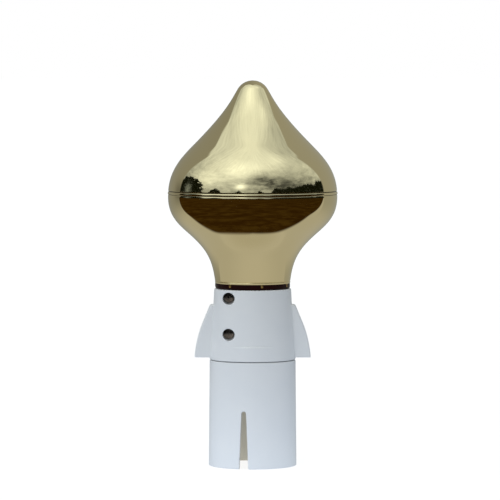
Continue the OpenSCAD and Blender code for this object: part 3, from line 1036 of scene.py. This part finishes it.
# The material of each slot
LOOKS = {
    "white_plastic": white_plastic(),
    "gold_metallised": gold(),
    "amber_plastic": dark_plastic("amber_plastic", (0.006, 0.001, 0.001), (0.022, 0.002, 0.002)),
    "slide_plastic": nylon(),
    "steel": metal("stainless_steel", (0.64, 0.63, 0.61), (0.50, 0.49, 0.47), 0.2, 0.42),
    "dark_steel": browned_steel(),
    "brass": metal("turned_brass", (0.78, 0.56, 0.25), (0.62, 0.42, 0.17), 0.18, 0.4),
}
# Dark bare plastic for the shells' inside, also used as painted shade on the groove floor and in
# the joint's gap
BARE_AND_GROOVE_SHADE = dark_plastic("bare_plastic_and_groove_shade", (0.012, 0.008, 0.003), (0.022, 0.014, 0.006))
# The locking tabs' material: a darker copy of the gold, as painted shade
SHADED_TAB_GOLD = metal("shaded_tab_gold", (0.42, 0.27, 0.10), (0.32, 0.20, 0.07), 0.15, 0.35)


# ---- The object ----

points, faces, normals = skin(
    sleeve_field, (-SLEEVE_FOOT_R, -SLEEVE_FOOT_R, 0), (SLEEVE_FOOT_R, SLEEVE_FOOT_R, SLEEVE_H),
    SLEEVE_GRID,
)
piece("sleeve_moulding", points, faces, "sleeve", "white_plastic", "pole_sleeve", normals)

points, faces, normals = skin(shell_field, HEAD_LOW, HEAD_HIGH, SHELL_GRID)
piece("front_shell_moulding", points, faces, "head", "white_plastic", "head_front_shell", normals)
piece(
    "rear_shell_moulding", half_turn(points), faces, "head", "white_plastic", "head_rear_shell",
    half_turn(normals),
)

points, faces = lathe(upper_finial_outline(), FINIAL_COLUMNS)
onion_top = piece("onion_top", points, faces, "head", "gold_metallised", "finial_upper_shell")
points, faces = lower_finial()
onion_base = piece("onion_base", points, faces, "head", "gold_metallised", "finial_lower_shell")
bare_inside_and_groove_shade(onion_top, BARE_AND_GROOVE_SHADE)
bare_inside_and_groove_shade(onion_base, BARE_AND_GROOVE_SHADE)
paint_tabs_shaded(onion_base, SHADED_TAB_GOLD)

points, faces, normals = skin(plug_field, PLUG_LOW, PLUG_HIGH, PLUG_GRID)
piece("base_plug_moulding", points, faces, "head", "amber_plastic", "finial_base_plug", normals)


points, faces, normals = skin(
    screw_field, (-SCREW_HEAD_R, -SCREW_HEAD_R, -SCREW_LEN),
    (SCREW_HEAD_R, SCREW_HEAD_R, SCREW_HEAD_H), SCREW_GRID,
)
for level, screw_z, seat_y in SCREW_SEATS:
    placed = screw_to_front(points) + (-AXLE_X, -seat_y, screw_z)
    front = screw_to_front(normals)
    for side, at, way in (("front", placed, front), ("rear", half_turn(placed), half_turn(front))):
        name = f"{side}_{level}_case_screw"
        piece(name, at, faces, "head", "dark_steel", f"{side}_screw_{level}", way)

for side, x in (("left", -AXLE_X), ("right", AXLE_X)):
    points, faces = lathe(sheave_outline(), SHEAVE_COLUMNS)
    placed = lay_on_y(points, x, AXLE_Z)
    sheave = f"{side}_sheave"
    piece(f"{side}_rope_sheave", placed, faces, sheave, "slide_plastic", sheave)
    section = washer_outline(SCREW_HOLE_R, BUSH_R, -BUSH_HALF_LEN, BUSH_HALF_LEN, 0.3)
    points, faces = lathe(section, BUSH_COLUMNS)
    placed = lay_on_y(points, x, AXLE_Z)
    piece(f"{side}_brass_bush", placed, faces, "head", "brass", f"{side}_sheave_bush")

for name, cad, body, hole_r, slot, edge in (
    ("thrust_washer_ring", "swivel_thrust_washer", "sleeve", POST_R + WASHER_FIT,
     "slide_plastic", 0.3),
    ("cap_washer_ring", "swivel_cap_washer", "sleeve", M8_HOLE_R, "steel", 0.25),
    ("finial_washer_ring", "finial_washer", "head", M8_HOLE_R, "steel", 0.25),
):
    low, high = corners(cad)
    section = washer_outline(hole_r, high[0], low[2], high[2], edge)
    points, faces = lathe(section, WASHER_COLUMNS)
    piece(name, points, faces, body, slot, cad)

for name, cad, body, seat_z, facing in (
    ("swivel_hex_bolt", "swivel_bolt", "sleeve", BOLT_SEAT_Z, -1),
    ("finial_hex_bolt", "finial_bolt", "head", PLUG_SEAT_Z, 1),
):
    low, high = corners(cad)
    length = high[2] - low[2] - M8_HEAD_H
    hex_part(name, cad, body, bolt_field(length), -length, M8_HEAD_H, seat_z, facing)

for name, cad, body, collar in (
    ("swivel_lock_nut", "swivel_nut", "sleeve", LOCK_COLLAR_H),
    ("finial_hex_nut", "finial_nut", "head", 0),
):
    low, high = corners(cad)
    height = high[2] - low[2]
    hex_part(name, cad, body, nut_field(height, collar), 0, height, low[2])


# ---- Stage: a pale floor, soft light and what the gold reflects ----
# The stage is laid out in metres. Its tones are linear and are given off as they are.

FLOOR_GLOW = 0.86
BOUNCE_HALF = 0.32  # half the side of the bounce plane
BOUNCE_Z = -0.001
BOUNCE_TONE = (0.69, 0.79, 0.95)
BOUNCE_INSIDE_TONE = (0.66, 0.62, 0.50)
GROUND_Z = 0.1765  # about level with the onion's waist
GROUND_CORNERS = (-12, 12, -12, 6)
SOIL_LEFT = (0.030, 0.0135, 0.0015)
SOIL_RIGHT = (0.020, 0.009, 0.001)
SOIL_LIGHT = (0.050, 0.028, 0.005)
RING_Z = 0.088
RING_HALF = 0.07
RING_INNER_TONE = (0.415, 0.415, 0.37)
TABLE_BELOW = (0.455, 0.46, 0.43)
TABLE_IN_FRONT = (0.465, 0.47, 0.44)
TABLE_ASIDE = (0.415, 0.42, 0.39)
BOARD_LEFT = (0.255, 0.262, 0.24)
BOARD_RIGHT = (0.315, 0.325, 0.30)
SKY_TINT = (0.89, 1.0, 1.05)
LEAF_TONE = (0.005, 0.006, 0.002)
GLIMPSE_TONE = (0.5, 0.6, 0.65)
DAYLIGHT_ABOVE = (0.75, 0.81, 0.85)
DAYLIGHT_LEVEL = (0.62, 0.655, 0.68)
DAYLIGHT_BELOW = (0.11, 0.12, 0.135)
WHITE_TONE = (1.0, 1.0, 1.0)

# How much brighter or darker the sky is round a place: the place and the half widths are
# (azimuth, elevation) in degrees, and azimuth counts from the front to the right
CLOUDS = (
    (0.33, (-27, 47), (30, 17)),
    (0.34, (-78, 28), (24, 12)),
    (0.18, (14, 13), (22, 8)),
    (0.26, (12, 24), (18, 8)),
    (-0.42, (30, 28), (46, 21)),
    (-0.26, (12, 32), (16, 16)),
    (-0.32, (105, 76), (34, 34)),
    (-0.22, (-112, 50), (30, 40)),
    (0.95, (-17, 19), (8, 6)),  # the sun behind thin cloud
    (0.18, (-60, 24), (22, 12)),
    (-0.18, (70, 52), (24, 13)),
    (-0.24, (118, 56), (16, 12)),
    (-0.06, (-112, 67), (14, 9)),
    (0.22, (74, 65), (18, 10)),
    (0.12, (0, 62), (30, 10)),
    (-0.2, (66, 16), (30, 9)),
)
DARKEST_SKY = 0.07
HEDGE_TOP = 5.5
BUSHES = ((13.5, -53, 12), (11.5, -19, 8), (11.5, 10, 7))  # top, azimuth and half width
CROWN = (-98.0, 7.0)  # the left tree's centre and half widths
CROWN_HALF = (26.0, 17.5)
CROWN_SOFTNESS = 22.0  # degrees per crown radius, for the leafy edge
GLIMPSES = (0.42, (-101, 8), (7, 8))  # sky seen through the left tree
BOARD_SHADE = (-0.42, (-121, 3), (12, 9))
BOARD_EDGES = (114.5, 117)  # azimuth from which the boards stand, to either side
BOARD_TURN = 2.0
BOARD_TOP = 49.0
BOARD_RISE_FROM = 122.0
BOARD_RISE = 2.2
KEY_SIZE = 0.9
KEY_POWER = 9.5
KEY_TONE = (0.97, 0.99, 1.0)
KEY_PLACE = (-0.75, -1.95, 0.95)
KEY_TARGET = (0, 0, 0.1)
CAMERA_PLACE = (0, -2.72, 0.300)
CAMERA_TARGET = (-0.002, 0, 0.1632)


def texture(tree, vector, scale, detail, roughness=0.5, distortion=0.0):
    """Noise over a vector, as a value that swings about 0."""
    made = node(
        tree, "ShaderNodeTexNoise", Vector=vector, Scale=scale, Detail=detail,
        Roughness=roughness, Distortion=distortion,
    )
    return Value(tree, made.outputs["Fac"]) - 0.5


def vector(tree, x, y=0.0):
    return node(tree, "ShaderNodeCombineXYZ", X=x, Y=y, Z=0.0).outputs[0]


def light_material(name):
    material = bpy.data.materials.new(name)
    material.use_nodes = True
    material.node_tree.nodes.clear()
    return material, material.node_tree


def where_hit(tree):
    """Where a ray hits a plane of the stage: x, y and the distance from the pole's axis."""
    x, y, _ = split(tree, node(tree, "ShaderNodeNewGeometry").outputs["Position"])
    return x, y, (x * x + y * y).calc("SQRT")


def stage_plane(name, material, left, right, front, back, z):
    mesh = bpy.data.meshes.new(name)
    corners_m = [(left, front, z), (right, front, z), (right, back, z), (left, back, z)]
    mesh.from_pydata(corners_m, [], [(0, 1, 2, 3)])
    mesh.materials.append(material)
    made = bpy.data.objects.new(name, mesh)
    bpy.context.scene.collection.objects.link(made)
    return made


def only_seen_by(made, kind):
    for ray in ("camera", "diffuse", "glossy", "shadow", "transmission", "volume_scatter"):
        setattr(made, "visible_" + ray, ray == kind)


def floor():
    """A lit white table: it only takes a faint shadow, light and reflections pass by it, and it
    can be seen through from below."""
    material, tree, surface = shader("floor", (0.2, 0.2, 0.2), Roughness=0.9)
    surface.inputs["Emission Color"].default_value = (*WHITE_TONE, 1)
    surface.inputs["Emission Strength"].default_value = FLOOR_GLOW
    below = node(tree, "ShaderNodeNewGeometry").outputs["Backfacing"]
    clear = node(tree, "ShaderNodeBsdfTransparent").outputs[0]
    mixed = node(tree, "ShaderNodeMixShader", _0=below, _1=surface.outputs[0], _2=clear)
    tree.links.new(mixed.outputs[0], tree.nodes["Material Output"].inputs["Surface"])
    made = stage_plane("floor", material, -60, 60, -20, 100, 0)
    made.visible_glossy = False
    made.visible_diffuse = False
    made.visible_shadow = False


def bounce():
    """Light thrown up by the table near the sleeve's foot, warmer inside the sleeve."""
    material, tree = light_material("bounce")
    _, _, r = where_hit(tree)
    tone = r.ramp(0.029, 0.034, 1, 0).mix(BOUNCE_TONE, BOUNCE_INSIDE_TONE)
    fade = r.ramp(0.10, BOUNCE_HALF, 1, 0)
    glow = node(tree, "ShaderNodeEmission", Color=tone, Strength=fade)
    node(tree, "ShaderNodeOutputMaterial", Surface=glow.outputs[0])
    edges = (-BOUNCE_HALF, BOUNCE_HALF, -BOUNCE_HALF, BOUNCE_HALF)
    only_seen_by(stage_plane("bounce", material, *edges, BOUNCE_Z), "diffuse")


def mirrored_card(name, material, tone, solid, edges, z):
    """A glowing plane that only reflections see, from above, where the value solid is 1."""
    tree = material.node_tree
    below = Value(tree, node(tree, "ShaderNodeNewGeometry").outputs["Backfacing"])
    shown = solid * (-below + 1.0)
    glow = node(tree, "ShaderNodeEmission", Color=tone, Strength=1.0).outputs[0]
    clear = node(tree, "ShaderNodeBsdfTransparent").outputs[0]
    mixed = node(tree, "ShaderNodeMixShader", _0=shown, _1=clear, _2=glow).outputs[0]
    node(tree, "ShaderNodeOutputMaterial", Surface=mixed)
    only_seen_by(stage_plane(name, material, *edges, z), "glossy")


def dark_ground():
    """What the onion's underside reflects in front: dark, bare ground from just below the belly
    out to the horizon. Its edge is nearly straight in front and bends back to either side."""
    material, tree = light_material("dark_ground")
    x, y, r = where_hit(tree)
    turn = x.calc("ARCTAN2", -y)
    distance = r.calc("LOGARITHM", math.e)
    soil = texture(tree, vector(tree, turn * 2.2, distance * 7.0), 1.5, 4.0, 0.65)
    tone = x.ramp(-0.3, 0.5).mix(SOIL_LEFT, SOIL_RIGHT)
    tone = soil.ramp(-0.10, 0.16).mix(tone, SOIL_LIGHT)
    inner = abs(x) * 0.2075 - 0.0502
    outer = abs(x) * 0.49 - 0.068
    edge = inner.calc("SMOOTH_MAX", outer, 0.004) - x * 0.073
    solid = (edge - y).ramp(-0.0015, 0.0015) * r.ramp(0.0485, 0.0520)
    mirrored_card("dark_ground", material, tone, solid, GROUND_CORNERS, GROUND_Z)


def pale_ring():
    """What the onion's underside reflects straight below itself: the pale table, and not the
    bright sleeve."""
    material, tree = light_material("pale_ring")
    _, _, r = where_hit(tree)
    tone = r.ramp(0.034, 0.058).mix(RING_INNER_TONE, TABLE_BELOW)
    edges = (-RING_HALF, RING_HALF, -RING_HALF, RING_HALF)
    mirrored_card("pale_ring", material, tone, r.ramp(0.058, 0.066, 1, 0), edges, RING_Z)


class Gaze:
    """The direction in which a ray leaves for the sky, as a vector and in degrees."""

    def __init__(self, tree):
        self.tree = tree
        direction = node(tree, "ShaderNodeTexCoord").outputs["Generated"]
        self.x, y, self.z = split(tree, direction)
        self.azimuth = self.x.calc("ARCTAN2", -y) * math.degrees(1)
        self.elevation = self.z.calc("ARCSINE") * math.degrees(1)
        layered = node(tree, "ShaderNodeMapping", Vector=direction, Scale=(1, 1, 2.4))
        self.layered = layered.outputs[0]

    def noise(self, scale, detail, roughness=0.5, distortion=0.0):
        """Noise over the sky, drawn out into level layers."""
        return texture(self.tree, self.layered, scale, detail, roughness, distortion)

    def distance(self, centre, half):
        """Squared distance from a place in the sky, in half widths."""
        across = (self.azimuth - centre[0]) / half[0]
        up = (self.elevation - centre[1]) / half[1]
        return across * across + up * up

    def hill(self, height, centre, half):
        """A smooth hill of brightness round a place in the sky."""
        return (-self.distance(centre, half)).calc("EXPONENT") * height

    def bush(self, top, azimuth, half_width):
        """The height of a rounded bush on the horizon."""
        across = (self.azimuth - azimuth) / half_width
        return (-(across * across)).calc("EXPONENT") * top


def cloudy(gaze):
    """How bright the sky is: paler upwards, with lit and dark clouds, puffs that break them up,
    and streaks that fan out above."""
    bright = gaze.elevation.ramp(10, 62, 0.47, 0.95)
    for cloud in CLOUDS:
        bright = bright + gaze.hill(*cloud)
    puffs = gaze.noise(4.2, 8, 0.72, 0.4) * gaze.elevation.ramp(25, 75, 1.15, 0.25)
    fan = vector(gaze.tree, gaze.azimuth, (gaze.elevation * 0.25))
    streaks = texture(gaze.tree, fan, 0.28, 4, 0.6) * gaze.elevation.ramp(30, 58, 0, 0.5)
    return (bright + puffs + streaks).calc("MAXIMUM", DARKEST_SKY)


def open_sky(gaze):
    """1 in the open sky and 0 among the trees: a low hedge with bushes, a wood on the right, and
    one round crown on the left."""
    along = vector(gaze.tree, gaze.azimuth)
    wood = gaze.azimuth.ramp(18, 32, 0, 15.5) + gaze.azimuth.ramp(45, 85, 0, 1)
    wood = wood + texture(gaze.tree, along, 0.11, 2) * gaze.azimuth.ramp(24, 40, 0, 16)
    for bush in BUSHES:
        wood = wood + gaze.bush(*bush)
    top = wood.calc("MAXIMUM", HEDGE_TOP) + texture(gaze.tree, along, 0.38, 4, 0.6) * 7.5
    leaves = gaze.noise(30.0, 3) * 8.0
    branches = gaze.noise(9.0, 3) * 18.0
    past_crown = (gaze.distance(CROWN, CROWN_HALF).calc("SQRT") - 1.0) * CROWN_SOFTNESS
    past_crown = past_crown - leaves - branches
    return (gaze.elevation - top - leaves).ramp(-0.5, 0.5) * past_crown.ramp(-0.7, 0.7)


def mirrored(gaze):
    """What the gold reflects around the stage: in front the sky over trees and a pale table, and
    behind pale boards, with the sky over them."""
    sky_tone = cloudy(gaze).dim(SKY_TINT)
    specks = gaze.noise(28.0, 4, 0.75) * 1.3 - 0.09
    glimpses = (specks + gaze.hill(*GLIMPSES)).calc("MAXIMUM", 0.0)
    front = open_sky(gaze).mix(glimpses.mix(LEAF_TONE, GLIMPSE_TONE), sky_tone)
    table = abs(gaze.azimuth).ramp(10, 100, 1, 0).mix(TABLE_ASIDE, TABLE_IN_FRONT)
    table = gaze.elevation.ramp(-78, -50, 1, 0).mix(table, TABLE_BELOW)
    front = gaze.elevation.ramp(-1.5, -0.5).mix(table, front)

    board = gaze.x.ramp(-0.3, 0.3).mix(BOARD_LEFT, BOARD_RIGHT)
    board = gaze.elevation.ramp(-34, -4).mix(table, board)
    board = (gaze.hill(*BOARD_SHADE) + 1.0).dim(board)
    outward = abs(gaze.azimuth + BOARD_TURN)
    top = (outward - BOARD_RISE_FROM).calc("MAXIMUM", 0.0) * BOARD_RISE + BOARD_TOP
    back = (gaze.elevation - top).ramp(-2, 2).mix(board, sky_tone)
    return outward.ramp(*BOARD_EDGES).mix(front, back)


def daylight(gaze):
    """Soft light from above, stronger from the left, that the plastic takes."""
    tone = gaze.z.ramp(-0.1, 0.1).mix(DAYLIGHT_BELOW, DAYLIGHT_LEVEL)
    tone = gaze.z.ramp(0.1, 0.9).mix(tone, DAYLIGHT_ABOVE)
    sideways = (gaze.x * 0.46 - 0.20) * gaze.x + 0.865
    return sideways.dim(tone)


def sky():
    """White to the camera, soft daylight to the plastic, and the surroundings to the gold."""
    world = bpy.data.worlds.new("sky")
    bpy.context.scene.world = world
    world.use_nodes = True
    world.cycles.sampling_method = "NONE"
    tree = world.node_tree
    tree.nodes.clear()
    gaze = Gaze(tree)
    path = node(tree, "ShaderNodeLightPath")
    to_gloss = Value(tree, path.outputs["Is Glossy Ray"])
    to_camera = Value(tree, path.outputs["Is Camera Ray"])
    seen = to_camera.mix(to_gloss.mix(daylight(gaze), mirrored(gaze)), WHITE_TONE)
    shine = node(tree, "ShaderNodeBackground", Color=seen, Strength=1.0).outputs[0]
    node(tree, "ShaderNodeOutputWorld", Surface=shine)


def put(name, data, place, target):
    """A light or a camera at a place, turned towards a target."""
    made = bpy.data.objects.new(name, data)
    made.location = place
    away = mathutils.Vector(target) - made.location
    made.rotation_euler = away.to_track_quat("-Z", "Y").to_euler()
    bpy.context.scene.collection.objects.link(made)
    return made


def key_light():
    """One large soft light from the front left, which the gold doesn't mirror."""
    data = bpy.data.lights.new("key", "AREA")
    data.shape = "DISK"
    data.size = KEY_SIZE
    data.energy = KEY_POWER
    data.color = KEY_TONE
    put("key", data, KEY_PLACE, KEY_TARGET).visible_glossy = False


def camera():
    """A long lens nearly three metres off, just above the onion's tip, looking slightly down."""
    data = bpy.data.cameras.new("camera")
    data.sensor_width = 36
    data.lens = 7.2 * data.sensor_width
    data.clip_start = 0.1
    data.clip_end = 200
    bpy.context.scene.camera = put("camera", data, CAMERA_PLACE, CAMERA_TARGET)


floor()
bounce()
dark_ground()
pale_ring()
sky()
key_light()
camera()
bpy.context.scene.view_settings.view_transform = "Standard"
